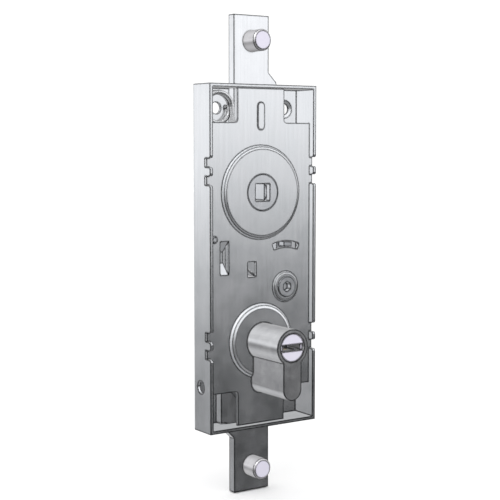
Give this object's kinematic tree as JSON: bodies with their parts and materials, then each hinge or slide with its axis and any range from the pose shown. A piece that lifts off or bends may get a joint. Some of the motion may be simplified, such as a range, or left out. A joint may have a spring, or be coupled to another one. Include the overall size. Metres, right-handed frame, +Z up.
{
  "type": "mortise lock",
  "caption": "Two-way lock for an overhead door: a sheet-steel case, two slides with driving studs, a square-hole spindle hub and a half profile cylinder.",
  "frame": {"origin": "on the hub's axis, in the plane of the case's back face", "axes": "+X to the right seen from the front, +Y into the door away from the viewer, +Z up along the slides"},
  "size_m": [0.06, 0.041, 0.2258],
  "materials": {
    "plated_sheet": "bright zinc-plated pressed steel sheet",
    "plated_bar": "zinc-plated flat bar",
    "turned_steel": "bright turned steel",
    "spring_steel": "bright drawn spring wire",
    "satin_nickel": "satin nickel plate on brass",
    "black_steel": "blackened steel",
    "brass": "turned brass"
  },
  "bodies": {
    "case": {"case_tray": "plated_sheet", "cover_plate": "plated_sheet", "cover_post": "turned_steel", "pivot_screw": "turned_steel", "hub_return_spring": "spring_steel", "lever_spring": "spring_steel", "cylinder_body": "satin_nickel", "cylinder_screw": "black_steel", "driver_pins": "brass", "pin_springs": "spring_steel"},
    "hub": {"hub_barrel": "plated_bar", "hub_disc": "plated_sheet", "drive_pins": "turned_steel", "hub_spring_peg": "turned_steel"},
    "upper_slide": {"top_slide": "plated_bar", "top_stud": "turned_steel"},
    "lower_slide": {"bottom_slide": "plated_bar", "bottom_stud": "turned_steel"},
    "lever": {"locking_lever": "plated_bar"},
    "plug": {"cylinder_plug": "satin_nickel", "cylinder_cam": "plated_bar", "cam_circlip": "black_steel", "key_pins": "brass"}
  },
  "joints": [
    {"name": "hub_turn", "type": "hinge", "parent": "case", "child": "hub", "pos_m": [0, 0, 0], "axis": [0, 1, 0], "range_deg": [0, 60], "stiffness_Nm_per_rad": 0.3, "springref_deg": -17.19, "deforming": ["hub_return_spring"]},
    {"name": "top_slide_travel", "type": "slide", "parent": "case", "child": "upper_slide", "axis": [0, 0, -1], "range_m": [0, 0.013]},
    {"name": "bottom_slide_travel", "type": "slide", "parent": "case", "child": "lower_slide", "axis": [0, 0, 1], "range_m": [0, 0.013]},
    {"name": "plug_turn", "type": "hinge", "parent": "case", "child": "plug", "pos_m": [0, -0.00705, -0.07], "axis": [0, 1, 0], "range_deg": [-11, 16]},
    {"name": "lever_swing", "type": "hinge", "parent": "case", "child": "lever", "pos_m": [0.0141, -0.0067, -0.0452], "axis": [0, 1, 0], "range_deg": [-16, 11], "stiffness_Nm_per_rad": 0.05}
  ],
  "couplings": [
    {"joint": "top_slide_travel", "follows": "hub_turn", "m_per_rad": 0.012414},
    {"joint": "bottom_slide_travel", "follows": "hub_turn", "m_per_rad": 0.012414},
    {"joint": "lever_swing", "follows": "plug_turn", "ratio": -1}
  ]
}
